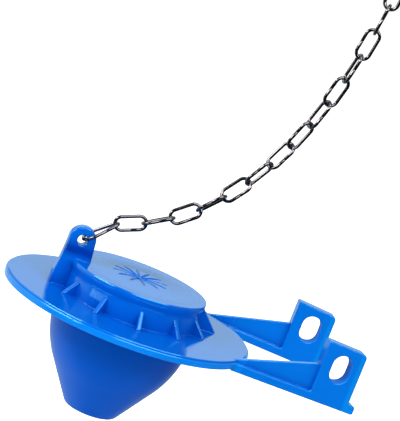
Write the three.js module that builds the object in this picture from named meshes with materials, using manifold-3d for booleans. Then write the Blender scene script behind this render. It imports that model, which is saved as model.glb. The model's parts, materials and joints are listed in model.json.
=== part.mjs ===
// Flapper for a two inch flush valve: a rigid moulded lid with two hinge arms and a chain ear,
// a soft seal moulded in one with a hollow float cone, and a steel lift chain with its lever hook.
// Millimetres. The origin is the centre of the sealing face, +Z points up along the cone's axis,
// and +X points towards the hinge arms.

import * as THREE from 'three';
import { mergeVertices } from 'three/addons/utils/BufferGeometryUtils.js';
import { ConvexGeometry } from 'three/addons/geometries/ConvexGeometry.js';
import Module from 'manifold-3d';

const wasm = await Module();
wasm.setup();

const DEGREE = Math.PI / 180;
const FULL_TURN = 360;

// How finely round forms are divided
const ROUND_STEPS = 72;
const CONE_STEPS = 64;
const CORNER_STEPS = 3;
const BORE_STEPS = 10;
const CONE_BEND_STEPS = 7;
const WIRE_SIDES = 8;
const CROWN_STEPS = 6;

// Flange, the disc that covers the valve seat
const FLANGE_RADIUS = 40.9;
const FLANGE_THICKNESS = 1.9;
const FLANGE_EDGE = 0.45;
const FLANGE_STEP_IN = 0.6;
const FLANGE_STEP_DOWN = 0.6;
const FLANGE_STEP_EDGE = 0.2;

// Soft seal under the flange
const SEAL_INSET = 0.4;
const SEAL_THICKNESS = 0.8;

// Raised cap in the middle of the flange
const CAP_RIM_RADIUS = 22.7;
const CAP_HEIGHT = 9.6;
const CAP_RIM_PROUD = 0.8;
const CAP_RIM_DEPTH = 2.2;
const CAP_DRAFT = 0.3;
const CAP_WALL = 1.8;
const CAP_LIP_WIDTH = 2.6;
const CAP_LIP_STEP = 0.25;
const CAP_EDGE = 0.7;

// Star of grooves pinched into the middle of the cap
const STAR_RADIUS = 10.6;
const STAR_GROOVES = 12;
const STAR_DIMPLE = 0.75;
const STAR_GROOVE_DEPTH = 0.5;
const STAR_EYE_RADIUS = 0.5;
const STAR_WIDEST_RADIUS = 4.7;
const STAR_GROOVE_WIDTH = 1.3;

// Triangular ribs round the cap, alike on both sides of the arms' middle
const RIBS_PER_SIDE = 5;
const RIB_FIRST_ANGLE = 28.3;
const RIB_PITCH_ANGLE = 31.7;
const RIB_THICKNESS = 1.5;
const RIB_HEIGHT = 5;
const RIB_REACH = 4.2;
const RIB_FOOT = 0.3;

// The longer and taller rib between the arms
const ARM_RIB_REACH = 7.2;
const ARM_RIB_TOP_REACH = 1.6;

// Ear that the chain hangs in, on the side away from the arms
const EAR_THICKNESS = 4;
const EAR_HOLE_DIAMETER = 3.2;
const EAR_WALL = 2.75;
const EAR_HOLE_INSET = 0.9;
const EAR_HOLE_ABOVE_CAP = 6.2;
const EAR_TOE = 1.2;
const EAR_FOOT = 3.1;
const EAR_FLARE = 0.7;
const EAR_EDGE = 0.5;

// Hinge arms, which hold the overflow pipe between their slotted ends
const PIPE_DIAMETER = 33.4;
const PIPE_CLEARANCE = 1.2;
const ARM_THICKNESS = 4.6;
const ARM_WEB_THICKNESS = 1.6;
const ARM_TOE_IN = 4.9;
const ARM_EDGE = 0.4;
const SLOT_X = 65.6;
const SLOT_Z = 9.5;
const SLOT_WIDTH = 6.6;
const SLOT_HEIGHT = 9.2;
const HINGE_PLATE_WIDTH = 13.8;
const HINGE_PLATE_TOP = 8.05;
const HINGE_PLATE_TOP_DROP = 1.25;
const HINGE_PLATE_CORNER = 3.3;
const HINGE_PLATE_CORNER_DROP = 1.3;
const RAIL_HEIGHT = 2.75;
const RAIL_DROOP = 3.9;
const RAIL_TOP_AT_PLATE = 0.15;
const TOE_LENGTH = 2.6;
const TOE_HEIGHT = 2.9;
const TOE_HEEL = 1;
const TOE_FALL = 0.4;
const WEB_TOP_AT_PLATE = 9.3;
const ARM_ROOT = 4.4;

// Hollow float cone, moulded in one with the seal
const CONE_RADIUS = 22.8;
const CONE_LENGTH = 33.2;
const CONE_SHOULDER = 2;
const CONE_BEND_RADIUS = 33.3;
const CONE_SLOPE = 33.7;
const CONE_WALL = 1.6;
const CONE_ROOF = 1.4;
const SPIGOT_HEIGHT = 4;
const SPIGOT_WALL = 1.6;
const FIT_CLEARANCE = 0.3;

// Lift chain of butted oval links, and the longer link that passes through the ear
const WIRE_DIAMETER = 1;
const LINK_COUNT = 15;
const OVAL_LINKS_RUN = 123.9;
const LINK_WIDTH = 5.4;
const LINK_PLAY = 0.15;
const FIRST_OVAL_ROLL = 90;
const LINK_ROLL = 81;
const EAR_LINK_LENGTH = 12.9;
const EAR_LINK_BOW = 3.4;
const EAR_LINK_TIP = 1.6;
const EAR_LINK_ANGLE = 42.4;
const EAR_LINK_SLACK = 0.35;

// The curve in which the chain hangs: level in the middle of a slack span that leans by CHAIN_LEAN
const CHAIN_LEAN = 20.5;
const CHAIN_SAG_LENGTH = 56.6;

// Hook on the chain's free end, bent from the same wire as the links
const HOOK_EYE_RADIUS = 1.9;
const HOOK_SHANK = 9;
const HOOK_RADIUS = 3.6;
const HOOK_EYE_START_ANGLE = -35;
const HOOK_EYE_END_ANGLE = -270;
const HOOK_BEND_END_ANGLE = -120;
const HOOK_ARC_STEPS = 8;
const HOOK_STEPS = 34;

// Heights and radii that follow from the sizes above
const flangeUnderside = SEAL_THICKNESS;
const flangeTop = flangeUnderside + FLANGE_THICKNESS;
const capTop = flangeTop + CAP_HEIGHT;
const capField = capTop - CAP_LIP_STEP;
const rimFoot = capTop - CAP_RIM_DEPTH;
const starFloor = (radius) => capField - STAR_DIMPLE * (1 - radius / STAR_RADIUS);
const sealRadius = FLANGE_RADIUS - SEAL_INSET;
const capWallTopRadius = CAP_RIM_RADIUS - CAP_RIM_PROUD;
const capWallFootRadius = capWallTopRadius + CAP_DRAFT;
const capBore = capWallTopRadius - CAP_WALL;
const wireRadius = WIRE_DIAMETER / 2;
const crownSeat = WIRE_DIAMETER + LINK_PLAY;
const linkPitch = OVAL_LINKS_RUN / (LINK_COUNT - 1);
const linkLength = linkPitch + WIRE_DIAMETER + crownSeat;

// Materials
const finish = (color, roughness, metalness) => (
  () => new THREE.MeshStandardMaterial({ color, roughness, metalness })
);
const glossyPlastic = finish(0x0a6fe0, 0.22, 0);
const satinPlastic = finish(0x0d4fb4, 0.55, 0);
const polishedSteel = finish(0xb9b6bd, 0.18, 1);

// Solids and booleans

function signedVolume(geometry) {
  const place = geometry.attributes.position;
  const index = geometry.index;
  const corner = [new THREE.Vector3(), new THREE.Vector3(), new THREE.Vector3()];
  let volume = 0;
  for (let i = 0; i < index.count; i += 3) {
    corner.forEach((point, k) => point.fromBufferAttribute(place, index.getX(i + k)));
    volume += corner[0].dot(corner[1].cross(corner[2])) / 6;
  }
  return volume;
}

function weld(geometry) {
  const bare = geometry.clone();
  bare.deleteAttribute('normal');
  bare.deleteAttribute('uv');
  const welded = mergeVertices(bare, 1e-4);
  if (signedVolume(welded) < 0) {
    const order = welded.index.array;
    for (let i = 0; i < order.length; i += 3) {
      [order[i], order[i + 1]] = [order[i + 1], order[i]];
    }
  }
  return welded;
}

function solid(geometry) {
  const welded = weld(geometry);
  return new wasm.Manifold(new wasm.Mesh({
    numProp: 3,
    vertProperties: new Float32Array(welded.attributes.position.array),
    triVerts: new Uint32Array(welded.index.array),
  }));
}

function fromSolid(shape) {
  const mesh = shape.getMesh();
  const geometry = new THREE.BufferGeometry();
  geometry.setAttribute('position', new THREE.BufferAttribute(new Float32Array(mesh.vertProperties), 3));
  geometry.setIndex(new THREE.BufferAttribute(new Uint32Array(mesh.triVerts), 1));
  geometry.computeVertexNormals();
  return geometry;
}

const joined = (shapes) => shapes.reduce((whole, shape) => whole.add(shape));

// A profile of [radius, height] points turned round the Z axis
function turned(profile, steps) {
  const points = profile.map(([radius, height]) => new THREE.Vector2(radius, height));
  return new THREE.LatheGeometry(points, steps).rotateX(Math.PI / 2);
}

// Points of a quarter round from one angle to another, in degrees
function roundPoints(centreR, centreZ, radius, fromAngle, toAngle, steps = CORNER_STEPS) {
  return Array.from({ length: steps + 1 }, (_, i) => {
    const angle = (fromAngle + (toAngle - fromAngle) * i / steps) * DEGREE;
    return [centreR + radius * Math.cos(angle), centreZ + radius * Math.sin(angle)];
  });
}

// A flat outline in X and Z given a thickness along Y, centred on Y = 0, with eased edges
function plate(shape, thickness, edge = 0) {
  const geometry = new THREE.ExtrudeGeometry(shape, {
    depth: thickness - 2 * edge,
    bevelEnabled: edge > 0,
    bevelThickness: edge,
    bevelSize: edge,
    bevelOffset: -edge,
    bevelSegments: 1,
    curveSegments: BORE_STEPS,
  });
  geometry.rotateX(Math.PI / 2);
  geometry.translate(0, thickness / 2 - edge, 0);
  return geometry;
}

const outline = (points) => new THREE.Shape(points.map(([x, z]) => new THREE.Vector2(x, z)));

// Flange and cap as one turned profile, hollow under the cap

function lidProfile() {
  const lipInner = CAP_RIM_RADIUS - CAP_LIP_WIDTH;
  const roof = starFloor(0) - CAP_WALL;
  const tier = flangeTop - FLANGE_STEP_DOWN;
  const stepRadius = FLANGE_RADIUS - FLANGE_STEP_IN;
  return [
    [0, roof],
    [capBore, roof],
    [capBore, flangeUnderside],
    [FLANGE_RADIUS - FLANGE_EDGE / 2, flangeUnderside],
    [FLANGE_RADIUS, flangeUnderside + FLANGE_EDGE / 2],
    ...roundPoints(FLANGE_RADIUS - FLANGE_EDGE, tier - FLANGE_EDGE, FLANGE_EDGE, 0, 90),
    [stepRadius, tier],
    [stepRadius, flangeTop - FLANGE_STEP_EDGE],
    [stepRadius - FLANGE_STEP_EDGE, flangeTop],
    [capWallFootRadius + CAP_EDGE, flangeTop],
    [capWallFootRadius, flangeTop + CAP_EDGE],
    [capWallTopRadius, rimFoot - CAP_RIM_PROUD],
    [CAP_RIM_RADIUS, rimFoot],
    ...roundPoints(CAP_RIM_RADIUS - CAP_EDGE, capTop - CAP_EDGE, CAP_EDGE, 0, 90),
    [lipInner, capTop],
    [lipInner - CAP_LIP_STEP, capField],
    [STAR_RADIUS, capField],
    [0, starFloor(0)],
  ];
}

// One groove of the star: a V in the dimple that runs out at the star's edge
function starGroove(angle) {
  const widest = starFloor(STAR_WIDEST_RADIUS);
  const groove = new ConvexGeometry([
    new THREE.Vector3(STAR_EYE_RADIUS, 0, starFloor(STAR_EYE_RADIUS) - STAR_GROOVE_DEPTH),
    new THREE.Vector3(STAR_EYE_RADIUS, 0, capTop),
    new THREE.Vector3(STAR_WIDEST_RADIUS, 0, widest - STAR_GROOVE_DEPTH),
    ...[-1, 1].flatMap((side) => [widest, capTop].map(
      (z) => new THREE.Vector3(STAR_WIDEST_RADIUS, side * STAR_GROOVE_WIDTH / 2, z),
    )),
    new THREE.Vector3(STAR_RADIUS, 0, capField),
    new THREE.Vector3(STAR_RADIUS, 0, capTop),
  ]);
  return groove.rotateZ(angle);
}

// A rib that stands on the flange and leans on the cap's wall
function rib(angle, reach, top, topReach) {
  const sunk = CAP_WALL / 2;
  const foot = capWallFootRadius + reach;
  const shape = outline([
    [capWallTopRadius - sunk, flangeTop - sunk],
    [foot, flangeTop - sunk],
    [foot, flangeTop + RIB_FOOT],
    [capWallTopRadius + topReach, top],
    [capWallTopRadius - sunk, top],
  ]);
  return solid(plate(shape, RIB_THICKNESS).rotateZ(angle * DEGREE));
}

function capRibs() {
  const angles = Array.from({ length: RIBS_PER_SIDE }, (_, i) => RIB_FIRST_ANGLE + i * RIB_PITCH_ANGLE);
  return [
    ...angles.flatMap((angle) => [-angle, angle]).map(
      (angle) => rib(angle, RIB_REACH, flangeTop + RIB_HEIGHT, 0),
    ),
    rib(0, ARM_RIB_REACH, rimFoot - CAP_RIM_PROUD, ARM_RIB_TOP_REACH),
  ];
}

// Chain ear, half on the cap and half on the flange

const earHole = {
  x: -(CAP_RIM_RADIUS - EAR_HOLE_INSET),
  z: capTop + EAR_HOLE_ABOVE_CAP,
};
const earRadius = EAR_HOLE_DIAMETER / 2 + EAR_WALL;

function chainEar() {
  const outer = earHole.x - earRadius;
  const inner = earHole.x + earRadius;
  const insideWall = -(capWallTopRadius - CAP_WALL / 2);
  const insideRoof = starFloor(0) - CAP_WALL / 2;
  const shape = new THREE.Shape();
  shape.moveTo(inner, earHole.z);
  shape.absarc(earHole.x, earHole.z, earRadius, 0, Math.PI, false);
  shape.quadraticCurveTo(outer, capTop, outer - EAR_TOE, flangeTop + EAR_FOOT);
  shape.lineTo(outer - EAR_TOE, flangeTop - FLANGE_THICKNESS / 2);
  shape.lineTo(insideWall, flangeTop - FLANGE_THICKNESS / 2);
  shape.lineTo(insideWall, insideRoof);
  shape.lineTo(inner + EAR_FLARE, insideRoof);
  const hole = new THREE.Path();
  hole.absarc(earHole.x, earHole.z, EAR_HOLE_DIAMETER / 2, 0, 2 * Math.PI, true);
  shape.holes.push(hole);
  return plate(shape, EAR_THICKNESS, EAR_EDGE);
}

// Hinge arms. Their outlines are drawn along the arm, with s = 0 at the slot.

const armOffset = PIPE_DIAMETER / 2 + PIPE_CLEARANCE + ARM_THICKNESS / 2;
const plateStart = -HINGE_PLATE_WIDTH / 2;
const rootStart = Math.sqrt(FLANGE_RADIUS ** 2 - armOffset ** 2) - ARM_ROOT - SLOT_X;
const railTop = (s) => RAIL_TOP_AT_PLATE - (s - plateStart) * Math.tan(RAIL_DROOP * DEGREE);
const railBottom = (s) => railTop(s) - RAIL_HEIGHT;

function hingePlateAndRail() {
  const plateEnd = HINGE_PLATE_WIDTH / 2;
  const toeEnd = plateEnd + TOE_LENGTH;
  const toeTop = railBottom(toeEnd) + TOE_HEIGHT;
  const top = SLOT_Z + HINGE_PLATE_TOP;
  const topEnd = top - HINGE_PLATE_TOP_DROP;
  const corner = [
    [plateEnd, topEnd - HINGE_PLATE_CORNER_DROP],
    [plateEnd, topEnd],
    [plateEnd - HINGE_PLATE_CORNER, topEnd],
  ].map(([x, z]) => new THREE.Vector2(x, z));
  const shape = outline([
    [rootStart, railBottom(rootStart)],
    [toeEnd, railBottom(toeEnd)],
    [toeEnd, toeTop],
    [plateEnd - TOE_HEEL, toeTop + TOE_FALL],
    ...new THREE.QuadraticBezierCurve(...corner).getPoints(CORNER_STEPS).map(({ x, y }) => [x, y]),
    [plateStart, top],
    [plateStart, railTop(plateStart)],
    [rootStart, railTop(rootStart)],
  ]);
  shape.holes.push(slot());
  return plate(shape, ARM_THICKNESS, ARM_EDGE);
}

// Upright slot with round ends
function slot() {
  const radius = SLOT_WIDTH / 2;
  const straight = SLOT_HEIGHT / 2 - radius;
  const path = new THREE.Path();
  path.absarc(0, SLOT_Z + straight, radius, 0, Math.PI, false);
  path.absarc(0, SLOT_Z - straight, radius, Math.PI, 2 * Math.PI, false);
  path.closePath();
  return path;
}

// Thin web that braces the hinge plate, rising from the flange
function armWeb() {
  const shape = outline([
    [rootStart, flangeTop - FLANGE_THICKNESS / 2],
    [rootStart, flangeTop],
    [plateStart + ARM_EDGE * 2, WEB_TOP_AT_PLATE],
    [plateStart + ARM_EDGE * 2, railTop(plateStart) - RAIL_HEIGHT / 2],
    [rootStart, railTop(rootStart) - RAIL_HEIGHT / 2],
  ]);
  return plate(shape, ARM_WEB_THICKNESS);
}

function hingeArm(side) {
  const place = new THREE.Matrix4()
    .makeTranslation(SLOT_X, side * armOffset, 0)
    .multiply(new THREE.Matrix4().makeRotationZ(-side * ARM_TOE_IN * DEGREE));
  return [hingePlateAndRail(), armWeb()].map((part) => solid(part.applyMatrix4(place)));
}

// The rigid moulding: flange, cap, ribs, chain ear and both arms in one

function flapperFrame() {
  const starAngles = Array.from({ length: STAR_GROOVES }, (_, i) => i * 2 * Math.PI / STAR_GROOVES);
  const body = joined([
    solid(turned(lidProfile(), ROUND_STEPS)),
    ...capRibs(),
    solid(chainEar()),
    ...hingeArm(-1),
    ...hingeArm(1),
  ]);
  const star = joined(starAngles.map((angle) => solid(starGroove(angle))));
  const roomForSeal = new THREE.CylinderGeometry(
    sealRadius + FIT_CLEARANCE, sealRadius + FIT_CLEARANCE, FLANGE_RADIUS, ROUND_STEPS,
  );
  roomForSeal.rotateX(Math.PI / 2).translate(0, 0, flangeUnderside - FLANGE_RADIUS / 2);
  return fromSolid(body.subtract(star).subtract(solid(roomForSeal)));
}

// Seal disc with its spigot up into the cap and its hollow cone below, open at the tip

function conePoints(inset) {
  const bend = CONE_BEND_RADIUS - inset;
  const centreR = CONE_RADIUS - CONE_BEND_RADIUS;
  const slope = Math.tan(CONE_SLOPE * DEGREE);
  const curve = roundPoints(centreR, -CONE_SHOULDER, bend, 0, -CONE_SLOPE, CONE_BEND_STEPS);
  const [lastR, lastZ] = curve[curve.length - 1];
  return [...curve, [lastR - (lastZ + CONE_LENGTH) * slope, -CONE_LENGTH]];
}

function sealAndFloat() {
  const spigotOuter = capBore - FIT_CLEARANCE;
  const outside = conePoints(0);
  const inside = conePoints(CONE_WALL).reverse();
  const lip = CONE_WALL / 4;
  const [tipR] = outside[outside.length - 1];
  const profile = [
    [0, SEAL_THICKNESS],
    [spigotOuter - SPIGOT_WALL, SEAL_THICKNESS],
    [spigotOuter - SPIGOT_WALL, SEAL_THICKNESS + SPIGOT_HEIGHT],
    [spigotOuter, SEAL_THICKNESS + SPIGOT_HEIGHT],
    [spigotOuter, SEAL_THICKNESS],
    [sealRadius, SEAL_THICKNESS],
    [sealRadius, 0],
    [CONE_RADIUS, 0],
    ...outside.slice(0, -1),
    [tipR + lip * Math.tan(CONE_SLOPE * DEGREE), -CONE_LENGTH + lip],
    [tipR - lip, -CONE_LENGTH],
    ...inside,
    [CONE_RADIUS - CONE_WALL, -CONE_ROOF],
    [0, -CONE_ROOF],
  ];
  return weld(turned(profile, CONE_STEPS));
}

// Closed wire loop with a round crown at each end and straight legs between them, lying in XY

class WireLoop extends THREE.Curve {
  constructor(startRadius, endRadius, length) {
    super();
    this.startRadius = startRadius;
    this.endRadius = endRadius;
    this.startX = -length / 2 + wireRadius + startRadius;
    this.endX = length / 2 - wireRadius - endRadius;
    this.spread = Math.acos((startRadius - endRadius) / (this.endX - this.startX));
  }

  // The end crown takes the first half of t and the start crown the second, legs in between
  angleAt(t) {
    const stations = 2 * (CROWN_STEPS + 1);
    const station = Math.round(t * stations) % stations;
    const onEnd = station <= CROWN_STEPS;
    const share = (onEnd ? station : station - CROWN_STEPS - 1) / CROWN_STEPS;
    const angle = onEnd
      ? -this.spread + 2 * this.spread * share
      : this.spread + 2 * (Math.PI - this.spread) * share;
    return { onEnd, angle };
  }

  getPointAt(t) {
    const { onEnd, angle } = this.angleAt(t);
    const radius = onEnd ? this.endRadius : this.startRadius;
    const x = onEnd ? this.endX : this.startX;
    return new THREE.Vector3(x + radius * Math.cos(angle), radius * Math.sin(angle), 0);
  }

  getTangentAt(t) {
    const { angle } = this.angleAt(t);
    return new THREE.Vector3(-Math.sin(angle), Math.cos(angle), 0);
  }
}

function wireLink(startRadius, endRadius, length) {
  const loop = new WireLoop(startRadius, endRadius, length);
  return weld(new THREE.TubeGeometry(loop, 2 * (CROWN_STEPS + 1), wireRadius, WIRE_SIDES, true));
}

// Hook: a wire eye round the last link's crown, a shank and an open bend for the flush lever.
// Its eye lies at X = 0, where the last link's crown passes through it.
function leverHook() {
  const eyeX = HOOK_EYE_RADIUS - crownSeat;
  const shankEnd = eyeX + HOOK_EYE_RADIUS + HOOK_SHANK;
  const eye = roundPoints(
    eyeX, 0, HOOK_EYE_RADIUS, HOOK_EYE_START_ANGLE, HOOK_EYE_END_ANGLE, HOOK_ARC_STEPS,
  );
  const bendZ = HOOK_EYE_RADIUS - HOOK_RADIUS;
  const bendStart = HOOK_EYE_END_ANGLE + FULL_TURN;
  const bend = roundPoints(shankEnd, bendZ, HOOK_RADIUS, bendStart, HOOK_BEND_END_ANGLE, HOOK_ARC_STEPS);
  const points = [...eye, [(eyeX + shankEnd) / 2, HOOK_EYE_RADIUS], ...bend];
  const route = new THREE.CatmullRomCurve3(points.map(([x, y]) => new THREE.Vector3(x, y, 0)));
  const section = new THREE.Shape(Array.from({ length: WIRE_SIDES }, (_, i) => {
    const angle = (i + 0.5) * 2 * Math.PI / WIRE_SIDES;
    return new THREE.Vector2(wireRadius * Math.cos(angle), wireRadius * Math.sin(angle));
  }));
  const settings = { steps: HOOK_STEPS, extrudePath: route, bevelEnabled: false };
  return weld(new THREE.ExtrudeGeometry(section, settings));
}

// Assembly

function named(name, geometry, material) {
  const mesh = new THREE.Mesh(geometry, material);
  mesh.name = name;
  return mesh;
}

// Turns a piece drawn along X so that it points up at an angle in the XZ plane, rolled about itself
function aim(mesh, position, angle, roll) {
  mesh.position.copy(position);
  mesh.quaternion
    .setFromAxisAngle(new THREE.Vector3(0, 1, 0), -angle * DEGREE)
    .multiply(new THREE.Quaternion().setFromAxisAngle(new THREE.Vector3(1, 0, 0), roll * DEGREE));
}

const along = (angle) => new THREE.Vector3(Math.cos(angle * DEGREE), 0, Math.sin(angle * DEGREE));

function chainAngle(number) {
  return CHAIN_LEAN + Math.atan((number - 2) * linkPitch / CHAIN_SAG_LENGTH) / DEGREE;
}

// Links hang from each other at their crowns: each starts one wire and its play behind the last crown
function liftChain() {
  const chain = new THREE.Group();
  const crownRadius = (LINK_WIDTH - WIRE_DIAMETER) / 2;

  const earLoop = wireLink(EAR_LINK_BOW, EAR_LINK_TIP, EAR_LINK_LENGTH);
  const earLink = named('chain_link_01', earLoop, polishedSteel());
  const hole = new THREE.Vector3(earHole.x, 0, earHole.z);
  const towards = along(EAR_LINK_ANGLE);
  const earLinkCentre = EAR_LINK_LENGTH / 2 - wireRadius + EAR_LINK_SLACK;
  aim(earLink, hole.clone().addScaledVector(towards, earLinkCentre), EAR_LINK_ANGLE, 0);
  chain.add(earLink);

  let crown = hole.clone().addScaledVector(towards, EAR_LINK_LENGTH - WIRE_DIAMETER + EAR_LINK_SLACK);
  for (let number = 2; number <= LINK_COUNT; number += 1) {
    const angle = chainAngle(number);
    const name = `chain_link_${String(number).padStart(2, '0')}`;
    const link = named(name, wireLink(crownRadius, crownRadius, linkLength), polishedSteel());
    const centre = crown.clone().addScaledVector(along(angle), (linkPitch - crownSeat) / 2);
    aim(link, centre, angle, FIRST_OVAL_ROLL + LINK_ROLL * (number - 2));
    crown = crown.clone().addScaledVector(along(angle), linkPitch);
    chain.add(link);
  }

  const hook = named('lever_hook', leverHook(), polishedSteel());
  aim(hook, crown, chainAngle(LINK_COUNT + 1), FIRST_OVAL_ROLL + LINK_ROLL * (LINK_COUNT - 1));
  chain.add(hook);
  return chain;
}

const flapper = new THREE.Group();
flapper.add(named('flapper_frame', flapperFrame(), glossyPlastic()));
flapper.add(named('seal_float', sealAndFloat(), satinPlastic()));
flapper.add(liftChain());

export default flapper;
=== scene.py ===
# Looks of a flush valve flapper: a glossy moulded lid with slotted hinge arms, a satin float cone
# under it and a chain of bright wire links. Sizes are in millimetres, and meshes are made in metres.

import json
from math import acos, cos, pi, radians, sin, sqrt, tan

import bmesh
import bpy
from mathutils import Matrix, Vector
from mathutils.geometry import tessellate_polygon


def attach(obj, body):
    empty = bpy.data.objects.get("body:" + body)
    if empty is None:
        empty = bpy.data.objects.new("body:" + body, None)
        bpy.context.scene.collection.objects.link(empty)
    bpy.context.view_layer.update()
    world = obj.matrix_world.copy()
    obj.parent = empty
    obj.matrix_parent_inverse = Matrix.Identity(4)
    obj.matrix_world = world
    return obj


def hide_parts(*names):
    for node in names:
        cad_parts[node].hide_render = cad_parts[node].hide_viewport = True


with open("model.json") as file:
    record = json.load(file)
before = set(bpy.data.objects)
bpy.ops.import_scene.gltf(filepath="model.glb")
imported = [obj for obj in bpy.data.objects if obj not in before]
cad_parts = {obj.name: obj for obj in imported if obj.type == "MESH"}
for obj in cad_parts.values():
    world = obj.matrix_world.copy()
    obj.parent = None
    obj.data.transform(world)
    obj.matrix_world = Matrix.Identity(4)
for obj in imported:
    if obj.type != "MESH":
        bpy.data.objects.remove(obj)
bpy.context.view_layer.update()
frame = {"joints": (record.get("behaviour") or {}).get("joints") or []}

MM = 0.001

# How deep a form stands in the one that carries it
OVERLAP = 1

# Flange and the seal disc under it
FLANGE_RADIUS = 40.9
FLANGE_UNDERSIDE = 0.8
FLANGE_TOP = 2.7
FLANGE_STEP_IN = 0.6
FLANGE_STEP_DOWN = 0.6
FLANGE_LAND = 0.26
TIER_RING_SPACING = 0.02
SEAL_RADIUS = 40.5
FLANGE_SKIRT = 0.15
SKIRT_EDGE = 0.2

# Cap
CAP_TOP = 12.3
CAP_RIM_RADIUS = 22.7
CAP_RIM_PROUD = 0.8
CAP_RIM_DEPTH = 2.2
FLARE_DROP = 1
LAND_CLEARANCE = 0.8
CAP_DRAFT = 0.3
CAP_WALL = 1.8
CAP_EDGE = 0.8
CAP_LAND = 0.4
CAP_LIP_WIDTH = 2.6
CAP_LIP_STEP = 0.08
CAP_LIP_SLOPE = 1.6
CAP_FOOT_FILLET = 0.15
CAP_DOME = 0.9
CAP_DOME_REACH = 19
CAP_FIELD_DEPTH = 1
RIPPLE_FROM = 13.5
RIPPLE_TO = 19.5
RIPPLE_PITCH = 1.75
RIPPLE_HEIGHT = 0.022

# Star of grooves pinched into the cap
STAR_RADIUS = 9.6
STAR_GROOVES = 12
STAR_GROOVE_WIDTH = 1.3
STAR_GROOVE_DEPTH = 0.7
STAR_DIMPLE = 0.8
STAR_DIMPLE_POWER = 1.5
GROOVE_FADE_OUT = 0.2
GROOVE_FADE_IN = 0.12

# Ribs, alike on both sides of the arms' middle, and the longer one between the arms
RIBS_PER_SIDE = 5
RIB_FIRST_ANGLE = 28.3
RIB_PITCH_ANGLE = 31.7
RIB_THICKNESS = 1.5
RIB_HEIGHT = 5
RIB_REACH = 4.2
ARM_RIB_REACH = 7.2
ARM_RIB_TOP_REACH = 1.6
RIB_TOE_HEIGHT = 0.3
RIB_CORNER = 0.5

# Chain ear
EAR_THICKNESS = 4
EAR_HOLE_RADIUS = 1.6
EAR_WALL = 2.75
EAR_HOLE_X = -21.8
EAR_HOLE_Z = 18.5
EAR_TOE = 1.2
EAR_FOOT = 3.1
EAR_FLARE = 0.7
EAR_EDGE = 0.65

# Hinge arms, drawn along the arm with s = 0 at the slot
ARM_OFFSET = 20.2
ARM_THICKNESS = 4.6
ARM_WEB_THICKNESS = 1.6
ARM_TOE_IN = 4.9
ARM_EDGE = 0.5
ARM_CORNER = 0.7
SLOT_X = 65.6
SLOT_Z = 9.5
SLOT_WIDTH = 6.6
SLOT_HEIGHT = 9.2
HINGE_PLATE_WIDTH = 13.8
HINGE_PLATE_TOP = 8.05
HINGE_PLATE_TOP_DROP = 1.25
HINGE_PLATE_CORNER = 1.6
RAIL_HEIGHT = 2.75
RAIL_DROOP = 3.9
RAIL_TOP_AT_PLATE = 0.15
TOE_LENGTH = 2.6
TOE_HEIGHT = 2.9
TOE_CORNER = 0.9
TOE_HOLLOW = 0.6
TOE_HOLLOW_RISE = 0.3
WEB_TOP_AT_PLATE = 9.3
WEB_FILLET_STOP = 0.5
ARM_ROOT = 4.4

# Seal and float cone
CONE_RADIUS = 22.8
CONE_LENGTH = 33.2
CONE_SHOULDER = 2
CONE_BEND_RADIUS = 33.3
CONE_SLOPE = 33.7
CONE_WALL = 1.6
CONE_ROOF = 1.4
CONE_ROOT_ROUNDING = 1
SPIGOT_HEIGHT = 4
SPIGOT_WALL = 1.6
FIT_CLEARANCE = 0.3

# Chain
WIRE_DIAMETER = 1
WIRE_SWELL = 0.07
LINK_WIDTH = 5.4
LINK_COUNT = 15
LINK_ROLL = 81
CROWN_SEAT = 1.15
EAR_LINK_LENGTH = 12.9
EAR_LINK_BOW = 3.4
EAR_LINK_TIP = 1.6
HOOK_EYE_RADIUS = 1.9
HOOK_SHANK = 9
HOOK_RADIUS = 3.6
HOOK_EYE_ARC = (-35, -270)
HOOK_ARC = (90, -120)
BUTT_GAP = 0.14
WIRE_END_BULGE = 0.4
WIRE_TIP = 0.02

# Painted light: the flange's rim band and the arms are coloured lighter, by distance from the axis, and
# the arms' ends lighter still, by distance along the arm
PAINTED_LIGHT_RIM_FROM = 39.9
PAINTED_LIGHT_BLEND = 0.8
PAINTED_LIGHT_ARM_FROM = 42.2
PAINTED_LIGHT_ARM_END_FROM = 4.8
PAINTED_LIGHT_ARM_END_BLEND = 0.6

# Painted shade, coloured darker: low on the ear and in corners below the cap's top; and duller in the
# slots
EAR_SHADE_OVER_CAP = 2
EAR_SHADE_UNDER_HOLE = 3
CORNER_DEPTH = 5
CORNER_SHADE = 0.9
CORNER_SAMPLES = 12
CORNER_UNDER_TOP = 1
CORNER_BLEND = 0.4
SLOT_WALL_BAND = 0.2
SLOT_WALL_BLEND = 0.15

# Colours as they are seen, from 0 to 255, in pairs where they wander between two
LID_BLUES = ((0, 96, 208), (0, 103, 213))
# Painted light and shade: the lighter rim band, arms and arm ends, and the darker ear and corners
PAINTED_LIT_RIM_BLUE = (6, 126, 231)
PAINTED_LIT_ARM_BLUE = (2, 111, 217)
PAINTED_LIT_ARM_END_BLUE = (3, 127, 224)
PAINTED_SHADE_EAR_BLUE = (0, 54, 164)
PAINTED_CORNER_SHADE_BLUE = (0, 40, 160)
FLOAT_BLUES = ((0, 82, 198), (0, 88, 208))
STEEL_GREYS = ((104, 97, 101), (130, 122, 126))

# How dull each finish is, and what scuffs, flow marks, grain and rubbing add
LID_ROUGHNESS = 0.06
SCUFF_ROUGHNESS = 0.05
FLOW_ROUGHNESS = 0.04
SLOT_WALL_ROUGHNESS = 0.5
FLOAT_ROUGHNESS = 0.3
CLOUD_ROUGHNESS = 0.1
STEEL_ROUGHNESS = 0.08
RUB_ROUGHNESS = 0.1

# Small roundings
FILLET = 0.15
FINE_EDGE = 0.3
RIB_EDGE = 0.45
LAND_EDGE = 0.12
FLAT_GUARD = 0.4
LAND_TILT = 24
FILLET_ROOT_PART = 3

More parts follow.
